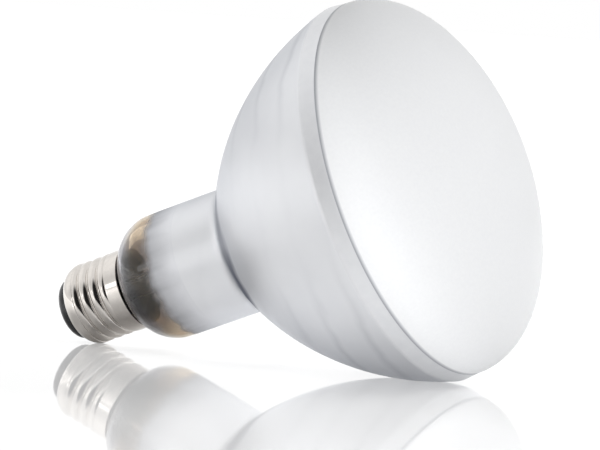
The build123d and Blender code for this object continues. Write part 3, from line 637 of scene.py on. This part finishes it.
# Surround: what the metal shows of it, as a direction, the cosines where a zone starts and is whole, and its
# levels outside and inside
SURROUND = {
    "dark_room": ((0.62, -0.74, 0.22), 0.45, 0.76, 1.0, 0.02),
    "window": ((-0.55, -0.81, 0.15), 0.994, 0.998, 0.0, 1.5),
    "dim_screen": ((-0.65, -0.60, 0.46), 0.90, 0.98, 1.0, 0.85),
    "high_light": ((-0.74, -0.05, 0.67), 0.8, 0.95, 0.0, 0.16),
}
FILL_LEVEL = 0.12
world = bpy.data.worlds.new("white_surround")
scene.world = world
world.use_nodes = True
tree = world.node_tree
background = tree.nodes["Background"]
background.inputs["Color"].default_value = srgb("#FFFFFF")
rays = add(tree, "ShaderNodeLightPath").outputs
direction = add(tree, "ShaderNodeTexCoord").outputs["Generated"]
zone = {}
for name, (towards, start, whole, outside, inside) in SURROUND.items():
    faced = {0: direction, 1: Vector(towards).normalized()}
    cosine = add(tree, "ShaderNodeVectorMath", faced, operation="DOT_PRODUCT").outputs["Value"]
    levels = {0: cosine, 1: start, 2: whole, 3: outside, 4: inside}
    zone[name] = add(tree, "ShaderNodeMapRange", levels, interpolation_type="SMOOTHSTEP").outputs[0]
joined = {0: zone["dark_room"], 1: zone["dim_screen"], 2: zone["window"]}
level = add(tree, "ShaderNodeMath", joined, operation="MULTIPLY_ADD").outputs[0]
level = add(tree, "ShaderNodeMath", {0: level, 1: zone["high_light"]}).outputs[0]
level = add(tree, "ShaderNodeMix", {0: rays["Is Diffuse Ray"], 2: level, 3: FILL_LEVEL}).outputs[0]
through = {0: rays["Is Camera Ray"], 1: rays["Is Transmission Ray"]}
seen = add(tree, "ShaderNodeMath", through, operation="MAXIMUM").outputs[0]
level = add(tree, "ShaderNodeMix", {0: seen, 2: level, 3: 1.0}).outputs[0]
tree.links.new(level, background.inputs["Strength"])

LAMP_DISTANCE = 1.5
LAMP_AIM = Vector((0, 0, 0.05))


def softbox(name, around, above, size, power):
    """Area lamp at an angle round the bulb and one above the floor, in degrees, that shows in no metal."""
    lamp = bpy.data.lights.new(name, "AREA")
    lamp.shape = "RECTANGLE"
    lamp.size, lamp.size_y = size
    lamp.energy = power
    made = bpy.data.objects.new(name, lamp)
    turn = radians(around)
    lift = radians(above)
    reach = Vector((cos(lift) * cos(turn), cos(lift) * sin(turn), sin(lift))) * LAMP_DISTANCE
    made.location = LAMP_AIM + reach
    made.rotation_euler = (-reach).to_track_quat("-Z", "Y").to_euler()
    made.visible_glossy = False
    scene.collection.objects.link(made)


softbox("front_key", -58, 4, (0.8, 0.2), 17.2)
softbox("back_right", 62, 26, (0.8, 0.6), 13)
softbox("back_left", 170, 35, (0.8, 0.8), 7.2)

# Camera at the photograph's place
CAMERA_AT = Vector((464.347, -954.985, 111.765)) * MM
CAMERA_FORWARD = Vector((-0.433737, 0.898765, -0.063985))
CAMERA_RIGHT = Vector((0.896948, 0.437437, 0.064301))
FOCAL_PIXELS = 3421.4
IMAGE_WIDTH = 600
SENSOR_WIDTH = 36
camera_data = bpy.data.cameras.new("camera")
camera_data.sensor_width = SENSOR_WIDTH
camera_data.lens = FOCAL_PIXELS * SENSOR_WIDTH / IMAGE_WIDTH
camera = bpy.data.objects.new("camera", camera_data)
camera_up = CAMERA_RIGHT.cross(CAMERA_FORWARD)
camera_turn = Matrix((CAMERA_RIGHT, camera_up, -CAMERA_FORWARD)).transposed().to_4x4()
camera.matrix_world = Matrix.Translation(CAMERA_AT) @ camera_turn
scene.collection.objects.link(camera)
scene.camera = camera
scene.view_settings.view_transform = "Standard"
